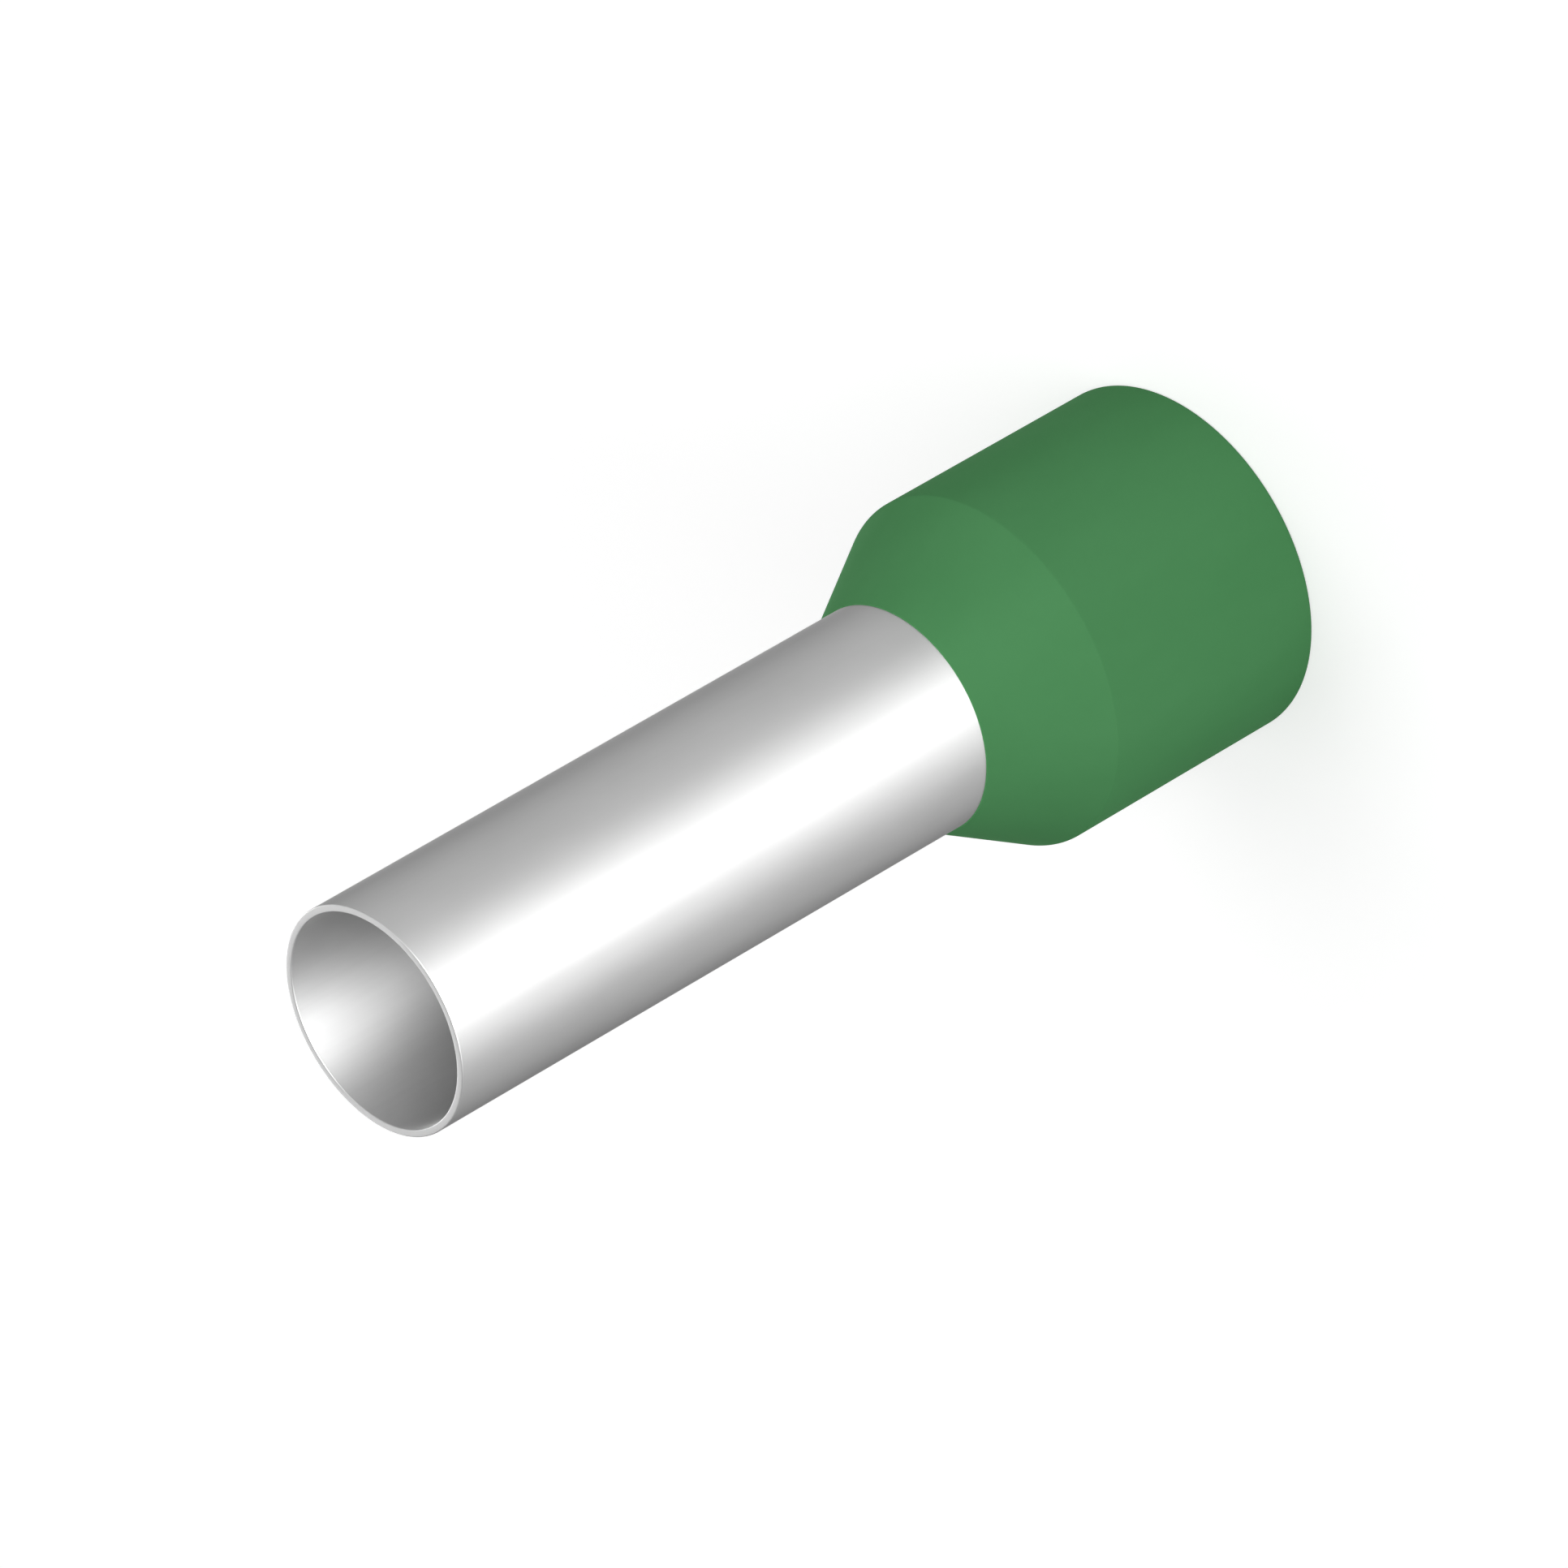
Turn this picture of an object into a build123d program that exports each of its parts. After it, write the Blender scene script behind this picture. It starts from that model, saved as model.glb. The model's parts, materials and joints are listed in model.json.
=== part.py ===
"""Insulated wire ferrule for a fine-stranded conductor of 16 square millimetres.

A thin tinned tube is pushed through a moulded collar from the collar's mouth, until its flared end seats
in the collar's cone. Wire strands go through the collar and the flare into the tube, and the wire's
insulation ends inside the collar.

The ferrule stands on the collar's mouth. The origin is the centre of that mouth, and +Z runs along the
axis to the tube's open tip. Every section below is drawn to the right of the axis and revolved about it.
"""
from build123d import *

import os
from math import atan2, cos, sin, tan

# Driving dimensions of the tube, in millimetres
tube_bore_diameter = 5.8      # room for the bunched strands
tube_wall = 0.2
tube_reach = 18.0             # bare tube that stands out of the collar
tip_edge_radius = 0.03        # the cut tip with its burr taken off
bend_radius = 1.0             # outer skin of the metal, where it turns into the flare

# Driving dimensions of the collar, in millimetres
collar_bore_diameter = 8.8    # room for the wire's insulation
collar_wall = 0.4
collar_length = 10.0
cone_length = 2.95            # along the axis, from the nose to the shoulder
cone_wall = 0.4               # plastic over the flare, square to the cone
nose_lip = 0.03               # flat ring round the tube where the cone ends
shoulder_radius = 0.15
funnel_radius = 0.3           # where the funnel runs into the bore
mouth_outer_radius = 0.08
mouth_lead_in = 0.12          # rounding that guides the insulation into the bore

# Clearance between the two pieces, in millimetres
rim_clearance = 0.4           # from the flare's rim to the collar's bore, on the radius

# Radius of a corner that is left sharp
sharp = 0

# Depths under the metal's outer skin
outer_skin = 0
inner_skin = tube_wall

# Radii of the straight parts
bore_radius = tube_bore_diameter / 2
tube_radius = bore_radius + tube_wall
collar_bore_radius = collar_bore_diameter / 2
collar_radius = collar_bore_radius + collar_wall
nose_radius = tube_radius + nose_lip

# Heights above the mouth
tip_height = collar_length + tube_reach
shoulder_height = collar_length - cone_length

# The flare runs parallel to the cone, one cone wall inside it
cone_angle = atan2(collar_radius - nose_radius, cone_length)
seat_radius = nose_radius - cone_wall * cos(cone_angle)
seat_height = collar_length - cone_wall * sin(cone_angle)
rim_radius = collar_bore_radius - rim_clearance


def height_on_seat(radius):
    """Height at which the collar's inner cone, where the flare lies on it, has this radius."""
    return seat_height - (radius - seat_radius) / tan(cone_angle)


def flare_bend(depth):
    """Corner where the metal, this deep under its outer skin, turns from the tube into the flare."""
    return (tube_radius - depth, height_on_seat(tube_radius) - depth * tan(cone_angle / 2))


def flare_rim(depth):
    """Edge of the flare's square-cut rim, this deep under the metal's outer skin."""
    return (rim_radius - depth * cos(cone_angle), height_on_seat(rim_radius) - depth * sin(cone_angle))


# The funnel carries the flare's inner skin on, out to the collar's bore
inner_rim_radius, inner_rim_height = flare_rim(inner_skin)
funnel_height = inner_rim_height - (collar_bore_radius - inner_rim_radius) / tan(cone_angle)

# Tinned metal tube, of one wall thickness from the tip to the flare's rim
with BuildPart() as metal_tube:
    with BuildSketch(Plane.XZ):
        with BuildLine():
            FilletPolyline(
                (bore_radius, tip_height),
                (tube_radius, tip_height),
                flare_bend(outer_skin),
                flare_rim(outer_skin),
                flare_rim(inner_skin),
                flare_bend(inner_skin),
                radius=[
                    tip_edge_radius,
                    tip_edge_radius,
                    bend_radius,
                    sharp,
                    sharp,
                    bend_radius + tube_wall,
                ],
                close=True,
            )
        make_face()
    revolve(axis=Axis.Z)

# Moulded collar, whose nose, throat and ledge take the outside of the tube's flared end
with BuildPart() as insulating_collar:
    with BuildSketch(Plane.XZ):
        with BuildLine():
            FilletPolyline(
                (collar_radius, 0),
                (collar_radius, shoulder_height),
                (nose_radius, collar_length),
                (tube_radius, collar_length),
                flare_bend(outer_skin),
                flare_rim(outer_skin),
                flare_rim(inner_skin),
                (collar_bore_radius, funnel_height),
                (collar_bore_radius, 0),
                radius=[
                    mouth_outer_radius,
                    shoulder_radius,
                    sharp,
                    sharp,
                    bend_radius,
                    sharp,
                    sharp,
                    funnel_radius,
                    mouth_lead_in,
                ],
                close=True,
            )
        make_face()
    revolve(axis=Axis.Z)

metal_tube.part.label = "metal_tube"
insulating_collar.part.label = "insulating_collar"

os.makedirs("parts", exist_ok=True)
export_step(metal_tube.part, "parts/metal_tube.step")
export_step(insulating_collar.part, "parts/insulating_collar.step")
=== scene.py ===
"""Looks of the insulated wire ferrule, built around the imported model.

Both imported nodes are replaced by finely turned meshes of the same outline: a satin tinned tube and a moulded
green collar. Lengths are in metres, and take their values from the frame wherever the frame holds them.
"""

import json
from math import atan2, cos, pi, radians, sin, tan

import bmesh
import bpy
from mathutils import Color, Matrix, Vector


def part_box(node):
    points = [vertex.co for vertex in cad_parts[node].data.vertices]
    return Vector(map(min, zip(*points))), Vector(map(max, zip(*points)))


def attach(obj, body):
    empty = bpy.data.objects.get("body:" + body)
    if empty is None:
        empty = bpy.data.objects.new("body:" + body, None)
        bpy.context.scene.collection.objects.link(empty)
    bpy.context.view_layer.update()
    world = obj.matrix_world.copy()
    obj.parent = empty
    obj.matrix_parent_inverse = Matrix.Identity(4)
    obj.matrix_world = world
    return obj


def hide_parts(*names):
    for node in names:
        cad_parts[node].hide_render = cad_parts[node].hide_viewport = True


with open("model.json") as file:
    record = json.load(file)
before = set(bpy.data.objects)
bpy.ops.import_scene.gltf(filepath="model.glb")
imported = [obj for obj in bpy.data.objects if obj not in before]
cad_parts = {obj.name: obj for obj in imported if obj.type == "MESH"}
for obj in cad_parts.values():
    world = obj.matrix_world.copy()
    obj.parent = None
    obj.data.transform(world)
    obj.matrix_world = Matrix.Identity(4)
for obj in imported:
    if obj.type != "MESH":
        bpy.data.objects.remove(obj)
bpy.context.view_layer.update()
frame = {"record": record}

millimetre = 0.001

# The camera that was fitted to the photograph, whose frame is square
photo_width_in_pixels = 1932
sensor_width = 36.0                   # millimetres, as the camera's own setting is
focal_length_in_pixels = 16780.4
camera_elevation = radians(35.186)
camera_roll = radians(-119.994)       # about the line of sight
tip_seen_from_camera = Vector((-9.9154, -5.7326, -329.0827)) * millimetre

# Sizes that the frame gives
mounts = {mount["name"]: mount for mount in frame["record"]["mounts"]}
tube_radius = mounts["contact_tube"]["dims"]["r_mm"] * millimetre
bore_radius = mounts["conductor_bore"]["dims"]["r_mm"] * millimetre
collar_bore_radius = mounts["wire_entry"]["dims"]["r_mm"] * millimetre
_, tube_high_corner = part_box("metal_tube")
_, collar_high_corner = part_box("insulating_collar")
rim_radius = tube_high_corner.x
tip_height = tube_high_corner.z
collar_radius = collar_high_corner.x
collar_length = collar_high_corner.z

# Sizes that the frame doesn't give, as in the part's source
cone_length = 2.95 * millimetre
cone_wall = 0.4 * millimetre
nose_lip = 0.03 * millimetre
tip_edge_radius = 0.03 * millimetre
bend_radius = 1.0 * millimetre
shoulder_radius = 0.15 * millimetre
funnel_radius = 0.3 * millimetre
mouth_outer_radius = 0.08 * millimetre
mouth_lead_in = 0.12 * millimetre

# Radius of a corner that is left sharp
sharp = 0

# Fineness of the turned meshes
steps_round = 256
steps_per_rounding = 10
longest_run = 0.5 * millimetre        # straight runs are divided, so that shading stays even along them
guard_run = 0.02 * millimetre         # short run that keeps a rounding's shading off the flat beside it


def as_outline(corners):
    """Points of the outline with these (radius, height, rounding) corners, and where its sharp ones are."""
    points = []
    sharp_places = []
    for place, (radius, height, rounding) in enumerate(corners):
        corner = Vector((radius, height))
        before = (Vector(corners[place - 1][:2]) - corner).normalized()
        after = (Vector(corners[(place + 1) % len(corners)][:2]) - corner).normalized()
        if rounding == sharp:
            sharp_places.append(len(points))
            points.append(corner)
            continue
        half_angle = before.angle(after) / 2
        centre = corner + (before + after).normalized() * (rounding / sin(half_angle))
        start = corner + before * (rounding / tan(half_angle)) - centre
        turn = pi - 2 * half_angle
        side = 1 if before.x * after.y - before.y * after.x < 0 else -1
        for step in range(steps_per_rounding + 1):
            arc = Matrix.Rotation(side * turn * step / steps_per_rounding, 2)
            points.append(centre + arc @ start)
    return points, sharp_places


def with_runs_divided(points, sharp_places):
    """The outline with extra points on its long straight runs, and the new places of its sharp corners."""
    divided = []
    moved_places = []
    for place, start in enumerate(points):
        end = points[(place + 1) % len(points)]
        length = (end - start).length
        if place in sharp_places:
            moved_places.append(len(divided))
        divided.append(start)
        if length < longest_run:
            continue
        direction = (end - start) / length
        first = start + direction * guard_run
        last = end - direction * guard_run
        parts = int((last - first).length / longest_run) + 1
        for part in range(parts + 1):
            divided.append(first.lerp(last, part / parts))
    return divided, moved_places


def turned(name, corners):
    """Piece made by turning a closed outline about the Z axis."""
    points, sharp_places = with_runs_divided(*as_outline(corners))
    mesh = bpy.data.meshes.new(name)
    form = bmesh.new()
    rings = []
    for step in range(steps_round):
        angle = 2 * pi * step / steps_round
        across = Vector((cos(angle), sin(angle), 0))
        rings.append([form.verts.new(across * point.x + Vector((0, 0, point.y))) for point in points])
    for step, ring in enumerate(rings):
        next_ring = rings[(step + 1) % steps_round]
        for place in range(len(points)):
            next_place = (place + 1) % len(points)
            face = form.faces.new((ring[place], ring[next_place], next_ring[next_place], next_ring[place]))
            face.smooth = True
        for place in sharp_places:
            form.edges.get((ring[place], next_ring[place])).smooth = False
    bmesh.ops.recalc_face_normals(form, faces=form.faces)
    form.to_mesh(mesh)
    form.free()
    piece = bpy.data.objects.new(name, mesh)
    bpy.context.scene.collection.objects.link(piece)
    return piece


# The flare runs parallel to the cone, one cone wall inside it
nose_radius = tube_radius + nose_lip
tube_wall = tube_radius - bore_radius
shoulder_height = collar_length - cone_length
cone_angle = atan2(collar_radius - nose_radius, cone_length)
seat_radius = nose_radius - cone_wall * cos(cone_angle)
seat_height = collar_length - cone_wall * sin(cone_angle)

# Depths under the metal's outer skin
outer_skin = 0
inner_skin = tube_wall


def height_on_seat(radius):
    """Height at which the collar's inner cone, where the flare lies on it, has this radius."""
    return seat_height - (radius - seat_radius) / tan(cone_angle)


def flare_bend(depth):
    """Corner where the metal, this deep under its outer skin, turns from the tube into the flare."""
    return tube_radius - depth, height_on_seat(tube_radius) - depth * tan(cone_angle / 2)


def flare_rim(depth):
    """Edge of the flare's square-cut rim, this deep under the metal's outer skin."""
    return rim_radius - depth * cos(cone_angle), height_on_seat(rim_radius) - depth * sin(cone_angle)


# The funnel carries the flare's inner skin on, out to the collar's bore
inner_rim_radius, inner_rim_height = flare_rim(inner_skin)
funnel_height = inner_rim_height - (collar_bore_radius - inner_rim_radius) / tan(cone_angle)

tube = turned(
    "tinned_tube",
    [
        (bore_radius, tip_height, tip_edge_radius),
        (tube_radius, tip_height, tip_edge_radius),
        (*flare_bend(outer_skin), bend_radius),
        (*flare_rim(outer_skin), sharp),
        (*flare_rim(inner_skin), sharp),
        (*flare_bend(inner_skin), bend_radius + tube_wall),
    ],
)
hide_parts("metal_tube")
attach(tube, "root")

collar = turned(
    "moulded_collar",
    [
        (collar_radius, 0, mouth_outer_radius),
        (collar_radius, shoulder_height, shoulder_radius),
        (nose_radius, collar_length, sharp),
        (tube_radius, collar_length, sharp),
        (*flare_bend(outer_skin), bend_radius),
        (*flare_rim(outer_skin), sharp),
        (*flare_rim(inner_skin), sharp),
        (collar_bore_radius, funnel_height, funnel_radius),
        (collar_bore_radius, 0, mouth_lead_in),
    ],
)
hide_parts("insulating_collar")
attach(collar, "root")


def new_tree(owner):
    """The emptied node tree of a material or world."""
    owner.use_nodes = True
    owner.node_tree.nodes.clear()
    return owner.node_tree


def add_node(tree, kind, values=(), **settings):
    """Node with these settings and input values; a value that is another node's socket is linked."""
    node = tree.nodes.new(kind)
    for name, value in settings.items():
        setattr(node, name, value)
    for name, value in dict(values).items():
        if isinstance(value, bpy.types.NodeSocket):
            tree.links.new(value, node.inputs[name])
        else:
            node.inputs[name].default_value = value
    return node


# Noise
noise_detail = 3.0
noise_roughness = 0.6
usual_lowest = 0.3                    # noise stays between these two nearly everywhere
usual_highest = 0.7


def blotches(tree, cells_per_metre, stretch=(1, 1, 1)):
    """Noise from 0 to 1 in the object's own coordinates, with cells that can be stretched along an axis."""
    place = add_node(tree, "ShaderNodeTexCoord")
    stretched = add_node(
        tree, "ShaderNodeVectorMath", {0: place.outputs["Object"], 1: stretch}, operation="MULTIPLY"
    )
    noise = add_node(
        tree,
        "ShaderNodeTexNoise",
        {
            "Vector": stretched.outputs[0],
            "Scale": cells_per_metre,
            "Detail": noise_detail,
            "Roughness": noise_roughness,
        },
    )
    return noise.outputs[0]


def ranged(tree, noise, lowest, highest):
    """The noise, spread from its usual range to the range from lowest to highest."""
    spread = add_node(
        tree,
        "ShaderNodeMapRange",
        {
            "Value": noise,
            "From Min": usual_lowest,
            "From Max": usual_highest,
            "To Min": lowest,
            "To Max": highest,
        },
    )
    return spread.outputs["Result"]


def blended(tree, noise, first_colour, second_colour):
    """Colour that wanders between two colours with the noise."""
    ramp = add_node(tree, "ShaderNodeValToRGB", {"Fac": ranged(tree, noise, 0, 1)})
    ramp.color_ramp.elements[0].color = first_colour
    ramp.color_ramp.elements[1].color = second_colour
    return ramp.outputs["Color"]


def bumped(tree, noise, strength, depth):
    """Surface direction, tilted as if the noise stood that deep."""
    bump = add_node(tree, "ShaderNodeBump", {"Strength": strength, "Distance": depth, "Height": noise})
    return bump.outputs["Normal"]


full_channel = 255


def screen_colour(red, green, blue):
    """Scene colour that a screen shows with these channels."""
    return (*(Color((red, green, blue)) / full_channel).from_srgb_to_scene_linear(), 1.0)


def screen_grey(level):
    """Scene colour that a screen shows as this grey."""
    return screen_colour(level, level, level)


# Tinned copper: tones, the tone of its gloss at a glancing view, set dark as painted shade so that the metal's
# sides render darker, and its gloss
tin_dull = screen_grey(176)
tin_bright = screen_grey(180)
# dark grey tint of the glancing gloss: painted shade that darkens the tube's sides
tin_edge_shade_tint = screen_grey(78)
tin_roughness = 0.48
tin_anisotropy = 0.7                  # draws gloss out along the axis, as the tube was drawn
bore_dull = screen_grey(168)
bore_bright = screen_grey(174)
# dark grey tint of the glancing gloss: painted shade that darkens the sides of the bore
bore_edge_shade_tint = screen_grey(78)
bore_roughness = 0.74
bore_anisotropy = 0.75
cut_dull = screen_grey(157)
cut_bright = screen_grey(161)
# grey tint of the glancing gloss: painted shade on the cut ring's rounded edges
cut_edge_shade_tint = screen_grey(150)
cut_roughness = 0.4
cut_anisotropy = 0.0
all_metal = 1.0
quarter_turn = 0.25                   # from round the axis to along it
cloud_cells = 500                     # per metre
cloud_stretch = (1, 1, 0.4)
streak_cells = 6000                   # per metre, across the tube
streak_stretch = (1, 1, 0.02)
streak_strength = 0.25
streak_depth = 0.002 * millimetre
streak_gloss = 0.012                  # how far the streaks change the roughness


def finish_tin(name, dull, bright, edge_shade_tint, roughness, anisotropy):
    """Satin tin plating: softly cloudy in tone, with faint drawing streaks along the tube, and its gloss
    darkened at a glancing view as painted shade on the sides.
    """
    material = bpy.data.materials.new(name)
    tree = new_tree(material)
    clouds = blotches(tree, cloud_cells, cloud_stretch)
    streaks = blotches(tree, streak_cells, streak_stretch)
    round_the_axis = add_node(tree, "ShaderNodeTangent", direction_type="RADIAL", axis="Z")
    shader = add_node(
        tree,
        "ShaderNodeBsdfPrincipled",
        {
            "Base Color": blended(tree, clouds, dull, bright),
            "Metallic": all_metal,
            "Roughness": ranged(tree, streaks, roughness - streak_gloss, roughness + streak_gloss),
            # a tint below white darkens the gloss at a glancing view: painted shade on the metal's sides
            "Specular Tint": edge_shade_tint,
            "Anisotropic": anisotropy,
            "Anisotropic Rotation": quarter_turn,
            "Tangent": round_the_axis.outputs["Tangent"],
            "Normal": bumped(tree, streaks, streak_strength, streak_depth),
        },
    )
    add_node(tree, "ShaderNodeOutputMaterial", {"Surface": shader.outputs["BSDF"]})
    return material


# Green polypropylene
green_deep = screen_colour(78, 141, 88)
green_light = screen_colour(83, 146, 93)
plastic_roughness = 0.75
plastic_gloss = 0.01
flow_cells = 260                      # per metre
flow_stretch = (1, 1, 0.35)
grain_cells = 14000                   # per metre
grain_strength = 0.15
grain_depth = 0.004 * millimetre
grain_gloss = 0.05                    # how far the grain changes the roughness


def finish_plastic(name):
    """Green plastic with the fine grain and slight flow marks of a moulded part."""
    material = bpy.data.materials.new(name)
    tree = new_tree(material)
    flow = blotches(tree, flow_cells, flow_stretch)
    grain = blotches(tree, grain_cells)
    shader = add_node(
        tree,
        "ShaderNodeBsdfPrincipled",
        {
            "Base Color": blended(tree, flow, green_deep, green_light),
            "Roughness": ranged(
                tree, grain, plastic_roughness - grain_gloss, plastic_roughness + grain_gloss
            ),
            "Specular IOR Level": plastic_gloss,
            "Normal": bumped(tree, grain, grain_strength, grain_depth),
        },
    )
    add_node(tree, "ShaderNodeOutputMaterial", {"Surface": shader.outputs["BSDF"]})
    return material


# The tube has one finish outside, one inside and one on the cut ring at its tip
outside, inside, cut_ring = range(3)
cut_upwards = 0.3                     # least upward part of a face's direction on the cut ring
tube.data.materials.append(
    finish_tin("drawn_tin", tin_dull, tin_bright, tin_edge_shade_tint, tin_roughness, tin_anisotropy)
)
tube.data.materials.append(
    finish_tin("bore_tin", bore_dull, bore_bright, bore_edge_shade_tint, bore_roughness, bore_anisotropy)
)
tube.data.materials.append(
    finish_tin("cut_tin", cut_dull, cut_bright, cut_edge_shade_tint, cut_roughness, cut_anisotropy)
)
for face in tube.data.polygons:
    if face.normal.z > cut_upwards:
        face.material_index = cut_ring
    elif face.normal.xy.dot(face.center.xy) < 0:
        face.material_index = inside
    else:
        face.material_index = outside
collar.data.materials.append(finish_plastic("green_polypropylene"))

# Floor and sky, which show as white and shed a plain light
floor_size = 4.0
floor_colour = screen_grey(212)
floor_glow_near = 0.56                # brings the floor just up to white where the lamps light it
floor_glow_far = 0.66                 # and where they don't
near_reach = 0.15
far_reach = 0.8
sky_glow = 1.0
sky_light = 0.38                      # for rough surfaces

# Soft boxes; an azimuth starts at the camera's side and grows towards +X
lamp_distance = 0.5
key_azimuth = radians(-15)
key_width = 0.40
key_height = 0.60
key_watts = 2.0
back_watts = 0.8
top_azimuth = radians(85)
top_elevation = radians(62)
top_width = 0.3
top_watts = 0.58

# Cards that only gloss shows, which draw the light band along the tube
card_azimuth = radians(-17)
card_width = 0.40
card_height = 0.9
card_centre = 0.5                     # above the floor
card_watts = 11.2
wide_card_width = 1.2
wide_card_watts = 12.5
back_card_height = 0.2
back_card_watts = 2.0


def seen_not_felt(tree):
    """1 for rays that look, straight, in a mirror or through glass, and 0 for rays that carry light."""
    ray = add_node(tree, "ShaderNodeLightPath")
    mirrored = add_node(
        tree,
        "ShaderNodeMath",
        {0: ray.outputs["Is Camera Ray"], 1: ray.outputs["Is Glossy Ray"]},
        operation="MAXIMUM",
    )
    seen = add_node(
        tree,
        "ShaderNodeMath",
        {0: mirrored.outputs[0], 1: ray.outputs["Is Transmission Ray"]},
        operation="MAXIMUM",
    )
    return seen.outputs[0]


def finish_floor():
    """Pale paint that keeps shadows, with just enough glow to show as white where no shadow falls."""
    material = bpy.data.materials.new("pale_floor")
    tree = new_tree(material)
    place = add_node(tree, "ShaderNodeTexCoord")
    reach = add_node(tree, "ShaderNodeVectorMath", {0: place.outputs["Object"]}, operation="LENGTH")
    level = add_node(
        tree,
        "ShaderNodeMapRange",
        {
            "Value": reach.outputs["Value"],
            "From Min": near_reach,
            "From Max": far_reach,
            "To Min": floor_glow_near,
            "To Max": floor_glow_far,
        },
        interpolation_type="SMOOTHSTEP",
    )
    strength = add_node(
        tree, "ShaderNodeMath", {0: seen_not_felt(tree), 1: level.outputs["Result"]}, operation="MULTIPLY"
    )
    paint = add_node(tree, "ShaderNodeBsdfDiffuse", {"Color": floor_colour})
    glow = add_node(tree, "ShaderNodeEmission", {"Strength": strength.outputs[0]})
    both = add_node(tree, "ShaderNodeAddShader", {0: paint.outputs[0], 1: glow.outputs[0]})
    add_node(tree, "ShaderNodeOutputMaterial", {"Surface": both.outputs[0]})
    return material


def add_floor():
    """Wide floor that the ferrule stands on."""
    mesh = bpy.data.meshes.new("floor")
    half = floor_size / 2
    corners = [(-half, -half, 0), (half, -half, 0), (half, half, 0), (-half, half, 0)]
    mesh.from_pydata(corners, [], [list(range(len(corners)))])
    mesh.materials.append(finish_floor())
    floor = bpy.data.objects.new("floor", mesh)
    bpy.context.scene.collection.objects.link(floor)


def add_sky():
    """White surroundings that shed a plain, even light."""
    world = bpy.data.worlds.new("studio")
    bpy.context.scene.world = world
    tree = new_tree(world)
    level = add_node(
        tree,
        "ShaderNodeMapRange",
        {"Value": seen_not_felt(tree), "To Min": sky_light, "To Max": sky_glow},
    )
    sky = add_node(tree, "ShaderNodeBackground", {"Strength": level.outputs["Result"]})
    add_node(tree, "ShaderNodeOutputWorld", {"Surface": sky.outputs[0]})


def add_softbox(name, azimuth, elevation, aim_height, width, height, watts):
    """Soft box that faces the point of the Z axis at the aimed height, and that the camera doesn't see."""
    data = bpy.data.lights.new(name, "AREA")
    data.shape = "RECTANGLE"
    data.size = width
    data.size_y = height
    data.energy = watts
    box = bpy.data.objects.new(name, data)
    aim = Matrix.Translation((0, 0, aim_height))
    turn = Matrix.Rotation(azimuth, 4, "Z") @ Matrix.Rotation(pi / 2 - elevation, 4, "X")
    box.matrix_world = aim @ turn @ Matrix.Translation((0, 0, lamp_distance))
    box.visible_camera = False
    bpy.context.scene.collection.objects.link(box)
    return box


def add_lamps():
    """Soft boxes in front, behind and above, and cards in front and behind that only gloss shows."""
    add_softbox("key_softbox", key_azimuth, 0, key_height / 2, key_width, key_height, key_watts)
    add_softbox("back_softbox", key_azimuth + pi, 0, key_height / 2, key_width, key_height, back_watts)
    add_softbox("top_softbox", top_azimuth, top_elevation, tip_height / 2, top_width, top_width, top_watts)
    front_card = add_softbox(
        "front_card", card_azimuth, 0, card_centre, card_width, card_height, card_watts
    )
    wide_card = add_softbox(
        "wide_card", card_azimuth, 0, card_centre, wide_card_width, card_height, wide_card_watts
    )
    back_card = add_softbox(
        "back_card", card_azimuth + pi, 0, back_card_height / 2, card_width, back_card_height, back_card_watts
    )
    for card in (front_card, wide_card, back_card):
        card.visible_diffuse = False


def add_camera():
    """Camera at the photograph's viewing angle."""
    data = bpy.data.cameras.new("camera")
    data.sensor_width = sensor_width
    data.lens = sensor_width * focal_length_in_pixels / photo_width_in_pixels
    camera = bpy.data.objects.new("camera", data)
    turn = Matrix.Rotation(pi / 2 - camera_elevation, 3, "X") @ Matrix.Rotation(camera_roll, 3, "Z")
    tip = Vector((0, 0, tip_height))
    camera.matrix_world = Matrix.Translation(tip - turn @ tip_seen_from_camera) @ turn.to_4x4()
    bpy.context.scene.collection.objects.link(camera)
    bpy.context.scene.camera = camera


add_floor()
add_sky()
add_lamps()
add_camera()
bpy.context.scene.view_settings.view_transform = "Standard"
